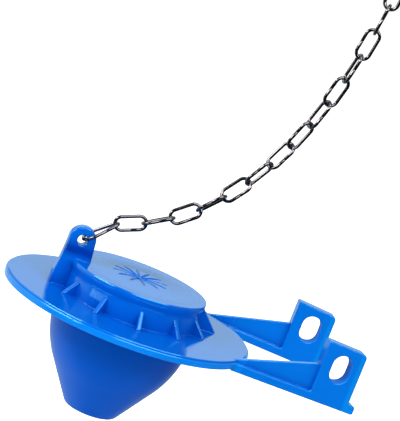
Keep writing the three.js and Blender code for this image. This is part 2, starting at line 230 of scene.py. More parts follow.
# How meshes are joined and shaded, with angles in degrees
WELD_DISTANCE = 1e-7
ON_AXIS = 1e-6
FLAT_FACE_WEIGHT = 92
LID_SMOOTH_ANGLE = 40
FLOAT_SMOOTH_ANGLE = 35
WIRE_SMOOTH_ANGLE = 60

# How finely round forms are divided
TURNED_STEPS = 288
CONE_STEPS = 192
EDGE_STEPS = 4
LAND_STEPS = 2
FOOT_STEPS = 6
ARM_CORNER_STEPS = 6
SLOT_STEPS = 18
EAR_STEPS = 28
EAR_BACK_STEPS = 12
EAR_HOLE_STEPS = 36
HOOK_STEPS = 40
CAP_RINGS = 84
CAP_LIP_STEPS = 6
FLARE_STEPS = 8
WIRE_SIDES = 16

# Camera, found by fitting it to the photograph: it looks at the flange from a little above
CAMERA_AZIMUTH = -14.52
CAMERA_ELEVATION = 10.0
CAMERA_ROLL = 21.36
CAMERA_DISTANCE = 582.31
CAMERA_SHIFT = (22.43, 30.16)
PIXELS_PER_MM = 3.16
PHOTO_LONG_SIDE = 421
SENSOR_WIDTH = 36

# Studio: the floor, and how bright the room looks in shiny faces, by direction
FLOOR_Z = -140
FLOOR_RADIUS = 6000
FLOOR_SIDES = 96
FLOOR_GLOW = 0.15
FLOOR_WHITE_FROM = 0.2
FLOOR_WHITE_BLEND = 0.12
PAPER_GREYS = ((0.78, 0.78, 0.78, 1), (0.82, 0.82, 0.82, 1))
ROOM_LIGHT = 0.25
WHITE = (1, 1, 1, 1)
ROOM_TINT = (0.74, 0.97, 0.93, 1)
PALE_SIDE = 1.0
HORIZON_SHARE = 0.4
HEIGHT_GAIN = 2.8
DIM_SIDE = 0.2
DARK_SIDE = 0.02
DARK_FROM = 0.2
DARK_BLEND = 0.25
DIM_FROM = 0.3
DIM_BLEND = 0.4
CEILING_FROM = 0.45
CEILING_BLEND = 0.25
CEILING_SHADE = 0.75

# Lamps: name, azimuth, elevation, distance, width and height in metres, and watts
LAMPS = (
    ("left_soft_box", -160, 30, 0.95, 0.62, 0.22, 5),
    ("right_soft_box", -72, 36, 0.95, 1.0, 0.24, 5.5),
    ("top_soft_box", -88, 66, 1.0, 0.7, 0.25, 3),
    ("left_panel", -166, 15, 0.95, 0.2, 0.1, 0.4),
    ("left_card", -156.5, -7.8, 0.475, 0.25, 0.011, 0.045),
)

lid_top_bore = CAP_RIM_RADIUS - CAP_RIM_PROUD - CAP_WALL
wire_radius = WIRE_DIAMETER / 2


# Meshes

class Moulding:
    """Points and faces of one piece, put together from closed bodies."""

    def __init__(self):
        self.points = []
        self.faces = []

    def add(self, points, faces, place=Matrix()):
        start = len(self.points)
        self.points += [place @ Vector(point) for point in points]
        self.faces += [[start + index for index in face] for face in faces]

    def piece(self, name, finish, body, smooth, weighted=True):
        """Makes the mesh object, in metres, and lets it ride on its body."""
        mesh = bpy.data.meshes.new(name)
        mesh.from_pydata([point * MM for point in self.points], [], self.faces)
        sheet = bmesh.new()
        sheet.from_mesh(mesh)
        bmesh.ops.remove_doubles(sheet, verts=sheet.verts, dist=WELD_DISTANCE)
        bmesh.ops.dissolve_degenerate(sheet, edges=sheet.edges, dist=WELD_DISTANCE)
        bmesh.ops.recalc_face_normals(sheet, faces=sheet.faces)
        sheet.to_mesh(mesh)
        sheet.free()
        mesh.shade_smooth()
        mesh.set_sharp_from_angle(angle=radians(smooth))
        made = bpy.data.objects.new(name, mesh)
        bpy.context.scene.collection.objects.link(made)
        if weighted:
            shading = made.modifiers.new("flat faces stay flat", "WEIGHTED_NORMAL")
            shading.keep_sharp = True
            shading.weight = FLAT_FACE_WEIGHT
        mesh.materials.append(finish)
        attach(made, body)
        return made


def arc(centre_x, centre_y, radius, start, end, steps=EDGE_STEPS):
    """Points of an arc between two angles in degrees."""
    angles = [radians(start + (end - start) * i / steps) for i in range(steps + 1)]
    return [(centre_x + radius * cos(a), centre_y + radius * sin(a)) for a in angles]


def rounded_outline(corners, steps=EDGE_STEPS):
    """Turns corners of (x, z, radius) into a flat outline with each corner rounded by its radius."""
    outline = []
    for i, (x, z, radius) in enumerate(corners):
        here = Vector((x, z))
        back = Vector(corners[i - 1][:2]) - here
        ahead = Vector(corners[(i + 1) % len(corners)][:2]) - here
        if not radius:
            outline.append(here)
            continue
        back.normalize()
        ahead.normalize()
        half = back.angle(ahead) / 2
        centre = here + (back + ahead).normalized() * radius / sin(half)
        first = here + back * radius / tan(half) - centre
        last = here + ahead * radius / tan(half) - centre
        turn = first.angle_signed(last)
        for k in range(steps + 1):
            outline.append(centre + Matrix.Rotation(-turn * k / steps, 2) @ first)
    return outline


def signed_area(loop):
    """The area inside a flat loop, above 0 where it runs to the left."""
    return sum(a.x * b.y - b.x * a.y for a, b in zip(loop, loop[1:] + loop[:1])) / 2


def inset(loop, distance):
    """Moves each point of a loop to the left of its direction."""
    moved = []
    for before, here, after in zip(loop[-1:] + loop[:-1], loop, loop[1:] + loop[:1]):
        sides = [(b - a).normalized() for a, b in ((before, here), (here, after))]
        lefts = [Vector((-side.y, side.x)) for side in sides]
        moved.append(here + (lefts[0] + lefts[1]) * distance / (1 + lefts[0].dot(lefts[1])))
    return moved


def moulded_plate(moulding, outline, holes, thickness, edge, place=Matrix()):
    """A plate lying in X and Z, thick along Y, with its rim and the rims of its holes rounded."""
    loops = [outline if signed_area(outline) > 0 else outline[::-1]]
    loops += [hole if signed_area(hole) < 0 else hole[::-1] for hole in holes]
    turns = [radians(90 * k / EDGE_STEPS) for k in range(EDGE_STEPS + 1)]
    profile = [(edge * (1 - sin(a)), -thickness / 2 + edge * (1 - cos(a))) for a in turns]
    profile += [(inward, -depth) for inward, depth in reversed(profile)]
    points, faces, starts = [], [], []
    for loop in loops:
        starts.append(len(points))
        count = len(loop)
        for inward, depth in profile:
            points += [(p.x, depth, p.y) for p in inset(loop, inward)]
        for ring in range(len(profile) - 1):
            for i in range(count):
                a = starts[-1] + ring * count + i
                b = starts[-1] + ring * count + (i + 1) % count
                faces.append((a, b, b + count, a + count))
    for ring in (0, len(profile) - 1):
        rims = [[Vector((p.x, p.y, 0)) for p in inset(loop, profile[ring][0])] for loop in loops]
        order = [s + ring * len(loop) + i for s, loop in zip(starts, loops) for i in range(len(loop))]
        faces += [[order[i] for i in triangle] for triangle in tessellate_polygon(rims)]
    moulding.add(points, faces, place)


def polished_land(radius, top, width):
    """The edge of a turned piece at (radius, top), with a slanted land that catches the light."""
    tilt = radians(LAND_TILT)
    rise, run = width * cos(tilt), width * sin(tilt)
    inner = arc(radius - LAND_EDGE - run, top - LAND_EDGE, LAND_EDGE, LAND_TILT, 90)
    outer = arc(radius - LAND_EDGE, top - LAND_EDGE - rise, LAND_EDGE, 0, LAND_TILT, LAND_STEPS)
    return outer + inner


def fillet_strip(moulding, start, end, along_a, along_b, radius, place=Matrix()):
    """A hollow rounding in the corner between two faces, from start to end."""
    start, end, a, b = (Vector(v) for v in (start, end, along_a, along_b))
    section = [-(a + b) * radius / FILLET_ROOT_PART]
    for k in range(EDGE_STEPS + 1):
        angle = radians(90 * k / EDGE_STEPS)
        section.append(a * radius * (1 - sin(angle)) + b * radius * (1 - cos(angle)))
    count = len(section)
    points = [start + offset for offset in section] + [end + offset for offset in section]
    faces = [(i, (i + 1) % count, count + (i + 1) % count, count + i) for i in range(count)]
    faces += [tuple(range(count)), tuple(range(count, 2 * count))]
    moulding.add(points, faces, place)


def turned(moulding, profile, steps, height=lambda radius, z, angle: z):
    """Turns a profile of (radius, z) round the Z axis, on which it starts and ends or closes."""
    rings, points = [], []
    for radius, z in profile:
        if radius < ON_AXIS:
            rings.append([len(points)])
            points.append((0, 0, height(0, z, 0)))
            continue
        rings.append(list(range(len(points), len(points) + steps)))
        for i in range(steps):
            angle = 2 * pi * i / steps
            points.append((radius * cos(angle), radius * sin(angle), height(radius, z, angle)))
    faces = []
    for low, high in zip(rings, rings[1:]):
        for i in range(steps):
            j = (i + 1) % steps
            corners = [low[i % len(low)], low[j % len(low)], high[j % len(high)], high[i % len(high)]]
            faces.append(list(dict.fromkeys(corners)))
    moulding.add(points, faces)


def wire(moulding, path, normal, radius, place=Matrix()):
    """A round wire along points that lie in one plane, with rounded ends."""
    path = [Vector(p) for p in path]
    normal = Vector(normal)
    directions = [(b - a).normalized() for a, b in zip(path[:1] + path[:-1], path[1:] + path[-1:])]
    directions[0] = (path[1] - path[0]).normalized()
    angles = [radians(90 * k / EDGE_STEPS) for k in range(EDGE_STEPS)]
    first, last = directions[0], directions[-1]
    stations = [(path[0] - first * radius * cos(a) * WIRE_END_BULGE, first, sin(a)) for a in angles]
    stations += [(point, direction, 1) for point, direction in zip(path, directions)]
    stations += [(path[-1] + last * radius * cos(a) * WIRE_END_BULGE, last, sin(a))
                 for a in reversed(angles)]
    points = []
    for point, direction, share in stations:
        side = normal.cross(direction)
        thickness = max(share, WIRE_TIP)
        for i in range(WIRE_SIDES):
            angle = 2 * pi * i / WIRE_SIDES
            points.append(point + (side * cos(angle) + normal * sin(angle)) * radius * thickness)
    faces = []
    for ring in range(len(stations) - 1):
        for i in range(WIRE_SIDES):
            a = ring * WIRE_SIDES + i
            b = ring * WIRE_SIDES + (i + 1) % WIRE_SIDES
            faces.append((a, b, b + WIRE_SIDES, a + WIRE_SIDES))
    last_ring = (len(stations) - 1) * WIRE_SIDES
    faces += [tuple(range(WIRE_SIDES)), tuple(range(last_ring, last_ring + WIRE_SIDES))]
    moulding.add(points, faces, place)


# Finishes

class Value:
    """A socket that adds up like a number: an expression on it adds its Math nodes."""

    def __init__(self, finish, socket):
        self.finish = finish
        self.socket = socket

    def _math(self, operation, first, second):
        return self.finish.node("ShaderNodeMath", {"operation": operation}, {0: first, 1: second})

    def __add__(self, other):
        return self._math("ADD", self, other)

    def __sub__(self, other):
        return self._math("SUBTRACT", self, other)

    def __rsub__(self, other):
        return self._math("SUBTRACT", other, self)

    def __mul__(self, other):
        return self._math("MULTIPLY", self, other)

    def __truediv__(self, other):
        return self._math("DIVIDE", self, other)

    __radd__ = __add__
    __rmul__ = __mul__

    def __abs__(self):
        return self.finish.node("ShaderNodeMath", {"operation": "ABSOLUTE"}, {0: self})

    def clamped(self):
        return self.finish.node("ShaderNodeClamp", {}, {"Value": self})


class Finish:
    """A node tree, of a material or of the world, that is filled node by node."""

    def __init__(self, owner):
        owner.use_nodes = True
        self.tree = owner.node_tree
        self.tree.nodes.clear()

    def node(self, kind, settings=None, sockets=None, output=0):
        """Makes one node: first its settings, then its sockets, and returns one output."""
        made = self.tree.nodes.new(kind)
        for name, setting in (settings or {}).items():
            setattr(made, name, setting)
        for name, given in (sockets or {}).items():
            socket = made.inputs[name]
            if isinstance(given, Value):
                self.tree.links.new(given.socket, socket)
            else:
                socket.default_value = given
        return Value(self, made.outputs[output]) if made.outputs else made

    def noise(self, scale, detail=2, roughness=0.5, stretch=(1, 1, 1)):
        """Cloudy noise that stays where the piece is."""
        place = self.node("ShaderNodeTexCoord", output="Object")
        place = self.node("ShaderNodeMapping", {}, {"Vector": place, "Scale": stretch})
        sockets = {"Vector": place, "Scale": scale, "Detail": detail, "Roughness": roughness}
        return self.node("ShaderNodeTexNoise", {}, sockets)

    def vector_math(self, operation, *vectors, output=0):
        """A Vector Math node on one or two vectors."""
        settings = {"operation": operation}
        return self.node("ShaderNodeVectorMath", settings, dict(enumerate(vectors)), output)

    def length(self, vector):
        return self.vector_math("LENGTH", vector, output="Value")

    def dot(self, vector, fixed):
        return self.vector_math("DOT_PRODUCT", vector, fixed, output="Value")

    def part(self, vector, axis):
        """How far a vector reaches along X, Y or Z."""
        return self.node("ShaderNodeSeparateXYZ", {}, {0: vector}, axis)

    def ray_kinds(self):
        """1 for a camera ray, and 1 for a ray that was mirrored or let through."""
        kinds = ("Is Camera Ray", "Is Glossy Ray", "Is Transmission Ray")
        camera, glossy, through = (self.node("ShaderNodeLightPath", output=kind) for kind in kinds)
        return camera, (glossy + through).clamped()

    def blend(self, share, first, second):
        """One colour where the share is 0, and the other where it is 1."""
        settings = {"data_type": "RGBA"}
        return self.node("ShaderNodeMix", settings, {0: share, 6: first, 7: second}, output=2)


def rgb(seen):
    """A colour given as it is seen, from 0 to 255, in the numbers that shaders use (the sRGB curve)."""
    shares = [part / 255 for part in seen]
    return (*(s / 12.92 if s < 0.04045 else ((s + 0.055) / 1.055) ** 2.4 for s in shares), 1)


def new_material(name):
    material = bpy.data.materials.new(name)
    return material, Finish(material)


def glossy_lid_plastic():
    """Hard blue plastic out of a polished mould, with faint flow marks; painted light makes the rim band
    and arms lighter, and painted shade makes the ear and corners darker.
    """
    material, finish = new_material("glossy_lid_plastic")
    place = finish.node("ShaderNodeTexCoord", output="Object")
    radius = finish.length(finish.vector_math("MULTIPLY", place, (1, 1, 0)))
    height = finish.part(place, "Z")
    # Painted light: the flange's rim band and the arms are coloured lighter
    thin = ((radius - PAINTED_LIGHT_RIM_FROM * MM) / (PAINTED_LIGHT_BLEND * MM)).clamped()
    arm = ((radius - PAINTED_LIGHT_ARM_FROM * MM) / (PAINTED_LIGHT_BLEND * MM)).clamped()
    # Painted shade: low on the ear the colour is darker
    over_cap = ((height - CAP_TOP * MM) / (EAR_SHADE_OVER_CAP * MM)).clamped()
    under_hole = ((EAR_HOLE_Z * MM - height) / (EAR_SHADE_UNDER_HOLE * MM)).clamped()
    ear = over_cap * under_hole * (1 - thin)
    # Painted light: the arms' ends are coloured lighter
    toe_in = radians(ARM_TOE_IN)
    ahead = finish.part(place, "X") - SLOT_X * MM
    aside = abs(finish.part(place, "Y")) - ARM_OFFSET * MM
    along = ahead * cos(toe_in) - aside * sin(toe_in)
    end = ((along - PAINTED_LIGHT_ARM_END_FROM * MM) / (PAINTED_LIGHT_ARM_END_BLEND * MM)).clamped()
    past_round = abs(height - SLOT_Z * MM) - (SLOT_HEIGHT - SLOT_WIDTH) / 2 * MM
    past_round = finish.node("ShaderNodeMath", {"operation": "MAXIMUM"}, {0: past_round, 1: 0})
    from_slot = finish.length(finish.node("ShaderNodeCombineXYZ", {}, {0: along, 1: past_round}))
    slot_wall = (((SLOT_WIDTH / 2 + SLOT_WALL_BAND) * MM - from_slot) / (SLOT_WALL_BLEND * MM)).clamped()
    # Painted shade: corners below the cap's top are coloured darker by ambient occlusion
    samples, reach = {"samples": CORNER_SAMPLES}, {"Distance": CORNER_DEPTH * MM}
    open_air = finish.node("ShaderNodeAmbientOcclusion", samples, reach, "AO")
    under_top = (((CAP_TOP - CORNER_UNDER_TOP) * MM - height) / (CORNER_BLEND * MM)).clamped()
    corner = ((1 - open_air) * CORNER_SHADE).clamped() * under_top
    flow = finish.noise(scale=70, detail=3, stretch=(1, 1, 2.5))
    colour = finish.blend(flow, *map(rgb, LID_BLUES))
    # Painted light and shade are blended into the colour here, over the flow marks
    colour = finish.blend(thin, colour, rgb(PAINTED_LIT_RIM_BLUE))
    colour = finish.blend(arm, colour, rgb(PAINTED_LIT_ARM_BLUE))
    colour = finish.blend(end, colour, rgb(PAINTED_LIT_ARM_END_BLUE))
    colour = finish.blend(ear, colour, rgb(PAINTED_SHADE_EAR_BLUE))
    colour = finish.blend(corner, colour, rgb(PAINTED_CORNER_SHADE_BLUE))
    scuffs = finish.noise(scale=900, detail=4, roughness=0.7)
    roughness = LID_ROUGHNESS + SCUFF_ROUGHNESS * scuffs + FLOW_ROUGHNESS * flow
    roughness += SLOT_WALL_ROUGHNESS * slot_wall
    skin = finish.noise(scale=120, detail=1)
    normal = finish.node("ShaderNodeBump", {}, {"Height": skin, "Strength": 0.05, "Distance": 0.0004})
    shader = finish.node("ShaderNodeBsdfPrincipled", {}, {
        "Base Color": colour,
        "Roughness": roughness,
        "Normal": normal,
        "IOR": 1.46,
        "Specular IOR Level": 0.8,
        "Specular Tint": (0.3, 0.95, 1, 1),
    })
    finish.node("ShaderNodeOutputMaterial", {}, {"Surface": shader})
    return material


def satin_float_plastic():
    """Soft blue plastic out of a blasted mould: a fine even grain and a broad, dull shine."""
    material, finish = new_material("satin_float_plastic")
    cloud = finish.noise(scale=55, detail=3)
    colour = finish.blend(cloud, *map(rgb, FLOAT_BLUES))
    grain = finish.noise(scale=2600)
    roughness = FLOAT_ROUGHNESS + CLOUD_ROUGHNESS * cloud
    normal = finish.node("ShaderNodeBump", {}, {"Height": grain, "Strength": 0.12, "Distance": 0.0002})
    shader = finish.node("ShaderNodeBsdfPrincipled", {}, {
        "Base Color": colour,
        "Roughness": roughness,
        "Normal": normal,
        "IOR": 1.42,
        "Specular IOR Level": 0.35,
        "Specular Tint": (0.1, 0.8, 1, 1),
    })
    finish.node("ShaderNodeOutputMaterial", {}, {"Surface": shader})
    return material


def bright_wire_steel():
    """Drawn steel wire with a bright finish, a little duller where the links have rubbed."""
    material, finish = new_material("bright_wire_steel")
    tarnish = finish.noise(scale=260, detail=3)
    colour = finish.blend(tarnish, *map(rgb, STEEL_GREYS))
    rub = finish.noise(scale=2200, detail=3, roughness=0.7)
    roughness = STEEL_ROUGHNESS + RUB_ROUGHNESS * rub
    normal = finish.node("ShaderNodeBump", {}, {"Height": rub, "Strength": 0.02, "Distance": 0.00005})
    shader = finish.node("ShaderNodeBsdfPrincipled", {}, {
        "Base Color": colour,
        "Metallic": 1.0,
        "Roughness": roughness,
        "Normal": normal,
    })
    finish.node("ShaderNodeOutputMaterial", {}, {"Surface": shader})
    return material


# The lid: flange, cap, ribs, chain ear and hinge arms

def cap_height(radius, z, angle):
    """The cap's height: a low dome with a dimple in it, and narrow grooves that run out at its edge."""
    if z < CAP_TOP - CAP_FIELD_DEPTH:
        return z
    if RIPPLE_FROM < radius < RIPPLE_TO:
        swell = sin(pi * (radius - RIPPLE_FROM) / (RIPPLE_TO - RIPPLE_FROM))
        z += RIPPLE_HEIGHT * swell * cos(2 * pi * radius / RIPPLE_PITCH)
    if radius >= CAP_DOME_REACH:
        return z
    dome = CAP_DOME * (0.5 + 0.5 * cos(pi * radius / CAP_DOME_REACH))
    if radius >= STAR_RADIUS:
        return z + dome
    reach = radius / STAR_RADIUS
    dimple = STAR_DIMPLE * (0.5 + 0.5 * cos(pi * reach)) ** STAR_DIMPLE_POWER
    pitch = 2 * pi / STAR_GROOVES
    off_centre = (angle / pitch + 0.5) % 1 - 0.5
    half_width = min(STAR_GROOVE_WIDTH / 2, radius * pitch / 2)
    offset = abs(off_centre) * pitch * radius / half_width if radius else 1
    groove = 0.5 + 0.5 * cos(pi * min(offset, 1))
    fade = min(1, (1 - reach) / GROOVE_FADE_OUT) * min(1, reach / GROOVE_FADE_IN)
    return z + dome - dimple - STAR_GROOVE_DEPTH * groove * fade


def soft_step(share):
    """From 0 to 1 with a soft start and end."""
    return 0.5 - 0.5 * cos(pi * share)


def lip_height(share):
    """The height of the cap's lip as it sinks softly to the field inside it."""
    return CAP_TOP - CAP_LIP_STEP * soft_step(share)


def lid_profile():
    """The outline of flange and cap, from the axis inside, round the edge, to the axis on top."""
    wall_top = CAP_RIM_RADIUS - CAP_RIM_PROUD
    wall_foot = wall_top + CAP_DRAFT
    rim_foot = CAP_TOP - CAP_RIM_DEPTH
    roof = CAP_TOP - CAP_LIP_STEP - STAR_DIMPLE - CAP_WALL
    tier = FLANGE_TOP - FLANGE_STEP_DOWN
    step_radius = FLANGE_RADIUS - FLANGE_STEP_IN
    lip_inner = CAP_RIM_RADIUS - CAP_LIP_WIDTH
    flare_foot = rim_foot - CAP_RIM_PROUD - FLARE_DROP
    flare_height = CAP_TOP - LAND_CLEARANCE - flare_foot
    flare_shares = [k / FLARE_STEPS for k in range(FLARE_STEPS + 1)]
    wall_height = flare_foot - FLANGE_TOP
    slope_shares = [k / CAP_LIP_STEPS for k in range(CAP_LIP_STEPS + 1)]
    inside_lip = lip_inner - CAP_LIP_SLOPE
    foot_x, foot_z = wall_foot + CAP_FOOT_FILLET, FLANGE_TOP + CAP_FOOT_FILLET

    def wall_point(height):
        return (wall_foot - CAP_DRAFT * height / wall_height, FLANGE_TOP + height)

    rings = [inside_lip * (1 - i / CAP_RINGS) for i in range(1, CAP_RINGS + 1)]
    return [
        (0, roof),
        *arc(lid_top_bore - FILLET, roof - FILLET, FILLET, 90, 0),
        (lid_top_bore, FLANGE_UNDERSIDE),
        (SEAL_RADIUS, FLANGE_UNDERSIDE),
        (SEAL_RADIUS, FLANGE_SKIRT),
        *arc(FLANGE_RADIUS - SKIRT_EDGE, FLANGE_SKIRT + SKIRT_EDGE, SKIRT_EDGE, -90, 0),
        *polished_land(FLANGE_RADIUS, tier, FLANGE_LAND),
        (step_radius + TIER_RING_SPACING, tier),
        *polished_land(step_radius, FLANGE_TOP, FLANGE_LAND),
        (step_radius - 2 * FLAT_GUARD, FLANGE_TOP),
        (foot_x + FLAT_GUARD, FLANGE_TOP),
        *arc(foot_x, foot_z, CAP_FOOT_FILLET, 270, 180, FOOT_STEPS),
        wall_point(FLAT_GUARD + CAP_FOOT_FILLET),
        wall_point(wall_height - FLAT_GUARD),
        *[(wall_top + CAP_RIM_PROUD * soft_step(share), flare_foot + flare_height * share)
          for share in flare_shares],
        *polished_land(CAP_RIM_RADIUS, CAP_TOP, CAP_LAND),
        *[(lip_inner - CAP_LIP_SLOPE * share, lip_height(share)) for share in slope_shares],
        *[(radius, CAP_TOP - CAP_LIP_STEP) for radius in rings],
    ]


def add_rib(lid, angle, reach, top, top_reach):
    """A rib that stands on the flange and leans on the cap's wall, with its hollow corners."""
    wall = CAP_RIM_RADIUS - CAP_RIM_PROUD
    wall_foot = wall + CAP_DRAFT
    foot = wall_foot + reach
    outline = rounded_outline([
        (wall - OVERLAP, FLANGE_TOP - OVERLAP, 0),
        (foot, FLANGE_TOP - OVERLAP, 0),
        (foot, FLANGE_TOP + RIB_TOE_HEIGHT, RIB_CORNER),
        (wall + top_reach, top, RIB_CORNER),
        (wall - OVERLAP, top, 0),
    ])
    half = RIB_THICKNESS / 2
    place = Matrix.Rotation(radians(angle), 4, "Z")
    moulded_plate(lid, outline, [], RIB_THICKNESS, RIB_EDGE, place)
    for side in (-1, 1):
        foot_start = (wall_foot, side * half, FLANGE_TOP)
        foot_end = (foot - RIB_TOE_HEIGHT, side * half, FLANGE_TOP)
        wall_end = (wall, side * half, top - RIB_CORNER)
        fillet_strip(lid, foot_start, foot_end, (0, side, 0), (0, 0, 1), FILLET, place)
        fillet_strip(lid, foot_start, wall_end, (0, side, 0), (1, 0, 0), FILLET, place)


def add_ribs(lid):
    """The ribs in pairs round the cap, and the longer one between the arms."""
    for k in range(RIBS_PER_SIDE):
        for side in (-1, 1):
            angle = side * (RIB_FIRST_ANGLE + RIB_PITCH_ANGLE * k)
            add_rib(lid, angle, RIB_REACH, FLANGE_TOP + RIB_HEIGHT, 0)
    under_rim = CAP_TOP - CAP_RIM_DEPTH - CAP_RIM_PROUD
    add_rib(lid, 0, ARM_RIB_REACH, under_rim, ARM_RIB_TOP_REACH)


def add_chain_ear(lid):
    """The ear with its hole, which stands over the cap's rim and runs down to the flange."""
    radius = EAR_HOLE_RADIUS + EAR_WALL
    outer = EAR_HOLE_X - radius
    inner = EAR_HOLE_X + radius
    inside_wall = -(CAP_RIM_RADIUS - CAP_RIM_PROUD - CAP_WALL / 2)
    inside_roof = CAP_TOP - CAP_WALL / 2
    heel = Vector((outer - EAR_TOE, FLANGE_TOP + EAR_FOOT))
    bend = Vector((outer, CAP_TOP))
    top = Vector((outer, EAR_HOLE_Z))
    shares = [k / EAR_BACK_STEPS for k in range(1, EAR_BACK_STEPS + 1)]
    back = [top * (1 - t) ** 2 + bend * 2 * t * (1 - t) + heel * t ** 2 for t in shares]
    outline = [Vector(p) for p in arc(EAR_HOLE_X, EAR_HOLE_Z, radius, 0, 180, EAR_STEPS)] + back + [
        Vector((outer - EAR_TOE, FLANGE_TOP - OVERLAP)),
        Vector((inside_wall, FLANGE_TOP - OVERLAP)),
        Vector((inside_wall, inside_roof)),
        Vector((inner + EAR_FLARE, inside_roof)),
    ]
    hole = arc(EAR_HOLE_X, EAR_HOLE_Z, EAR_HOLE_RADIUS, 0, 360, EAR_HOLE_STEPS)[:-1]
    hole = [Vector(p) for p in hole]
    moulded_plate(lid, outline, [hole], EAR_THICKNESS, EAR_EDGE)
    half = EAR_THICKNESS / 2
    for side in (-1, 1):
        run = ((outer - EAR_TOE + EAR_EDGE, side * half, FLANGE_TOP),
               (-(CAP_RIM_RADIUS - CAP_RIM_PROUD), side * half, FLANGE_TOP))
        fillet_strip(lid, *run, (0, side, 0), (0, 0, 1), FILLET)
        run = ((-(CAP_RIM_RADIUS - CAP_EDGE), side * half, CAP_TOP), (inner, side * half, CAP_TOP))
        fillet_strip(lid, *run, (0, side, 0), (0, 0, 1), FILLET)
    fillet_strip(lid, (inner + EAR_FLARE / 4, -half + FILLET, CAP_TOP),
                 (inner + EAR_FLARE / 4, half - FILLET, CAP_TOP), (1, 0, 0), (0, 0, 1), FILLET)


def rail_top(s):
    """The height of the rail's top at s along the arm."""
    return RAIL_TOP_AT_PLATE - (s + HINGE_PLATE_WIDTH / 2) * tan(radians(RAIL_DROOP))


def add_hinge_arm(lid, side):
    """A hinge arm: the rail with its slotted end plate and toe, and the thin web that braces them."""
    start = -HINGE_PLATE_WIDTH / 2
    end = HINGE_PLATE_WIDTH / 2
    root = sqrt(FLANGE_RADIUS ** 2 - ARM_OFFSET ** 2) - ARM_ROOT - SLOT_X
    toe = end + TOE_LENGTH
    toe_foot = rail_top(toe) - RAIL_HEIGHT
    top = SLOT_Z + HINGE_PLATE_TOP
    plate = rounded_outline([
        (root, rail_top(root) - RAIL_HEIGHT, 0),
        (toe, toe_foot, ARM_CORNER),
        (toe, toe_foot + TOE_HEIGHT, TOE_CORNER),
        (end, toe_foot + TOE_HEIGHT + TOE_HOLLOW_RISE, TOE_HOLLOW),
        (end, top - HINGE_PLATE_TOP_DROP, HINGE_PLATE_CORNER),
        (start, top, ARM_CORNER),
        (start, rail_top(start), ARM_CORNER),
        (root, rail_top(root), 0),
    ], ARM_CORNER_STEPS)
    radius = SLOT_WIDTH / 2
    straight = SLOT_HEIGHT / 2 - radius
    slot = arc(0, SLOT_Z + straight, radius, 0, 180, SLOT_STEPS)
    slot += arc(0, SLOT_Z - straight, radius, 180, 360, SLOT_STEPS)
    web = rounded_outline([
        (root, FLANGE_TOP - OVERLAP, 0),
        (root, FLANGE_TOP, 0),
        (start + OVERLAP, WEB_TOP_AT_PLATE, 0),
        (start + OVERLAP, rail_top(start) - RAIL_HEIGHT / 2, 0),
        (root, rail_top(root) - RAIL_HEIGHT / 2, 0),
    ])
    place = Matrix.Translation((SLOT_X, side * ARM_OFFSET, 0))
    place @= Matrix.Rotation(radians(-side * ARM_TOE_IN), 4, "Z")
    moulded_plate(lid, plate, [[Vector(p) for p in slot]], ARM_THICKNESS, ARM_EDGE, place)
    moulded_plate(lid, web, [], ARM_WEB_THICKNESS, FINE_EDGE, place)
    half = ARM_WEB_THICKNESS / 2
    for face in (-1, 1):
        corner_foot = (start, face * half, rail_top(start))
        corner_top = (start, face * half, WEB_TOP_AT_PLATE - WEB_FILLET_STOP)
        rail_end = (root, face * half, rail_top(root))
        fillet_strip(lid, corner_foot, corner_top, (0, face, 0), (-1, 0, 0), FILLET, place)
        fillet_strip(lid, corner_foot, rail_end, (0, face, 0), (0, 0, 1), FILLET, place)


def moulded_lid():
    """The whole lid as one piece, as it is moulded."""
    lid = Moulding()
    turned(lid, lid_profile(), TURNED_STEPS, cap_height)
    add_ribs(lid)
    add_chain_ear(lid)
    add_hinge_arm(lid, -1)
    add_hinge_arm(lid, 1)
    finish = glossy_lid_plastic()
    made = lid.piece("moulded_lid", finish, "flapper", LID_SMOOTH_ANGLE)
    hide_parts("flapper_frame")


# The seal disc and its float cone

def cone_points(inward, steps=28):
    """The float cone's side, from its shoulder to its cut-off tip, moved inward by a distance."""
    bend = CONE_BEND_RADIUS - inward
    curve = arc(CONE_RADIUS - CONE_BEND_RADIUS, -CONE_SHOULDER, bend, 0, -CONE_SLOPE, steps)
    last_r, last_z = curve[-1]
    return curve + [(last_r - (last_z + CONE_LENGTH) * tan(radians(CONE_SLOPE)), -CONE_LENGTH)]


def seal_and_float():
    """The seal disc, the spigot over it and the hollow cone under it, as one piece."""
    cone = Moulding()
    spigot = lid_top_bore - FIT_CLEARANCE
    outside = cone_points(0)
    inside = cone_points(CONE_WALL)
    tip = outside[-1][0]
    lip = CONE_WALL / 4
    ease = FINE_EDGE
    profile = [
        (0, FLANGE_UNDERSIDE),
        (spigot - SPIGOT_WALL, FLANGE_UNDERSIDE),
        (spigot - SPIGOT_WALL, FLANGE_UNDERSIDE + SPIGOT_HEIGHT),
        *arc(spigot - ease, FLANGE_UNDERSIDE + SPIGOT_HEIGHT - ease, ease, 90, 0),
        (spigot, FLANGE_UNDERSIDE),
        *arc(SEAL_RADIUS - ease, FLANGE_UNDERSIDE - ease, ease, 90, 0),
        *arc(SEAL_RADIUS - ease, ease, ease, 0, -90),
        *arc(CONE_RADIUS + CONE_ROOT_ROUNDING, -CONE_ROOT_ROUNDING, CONE_ROOT_ROUNDING, 90, 180),
        *outside[:-1],
        (tip + lip * tan(radians(CONE_SLOPE)), -CONE_LENGTH + lip),
        (tip, -CONE_LENGTH + lip / 3),
        (tip - lip / 2, -CONE_LENGTH),
        *reversed(inside),
        (CONE_RADIUS - CONE_WALL, -CONE_ROOF),
        (0, -CONE_ROOF),
    ]
    turned(cone, profile, CONE_STEPS)
    finish = satin_float_plastic()
    made = cone.piece("seal_and_float", finish, "flapper", FLOAT_SMOOTH_ANGLE)
    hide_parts("seal_float")


# The chain

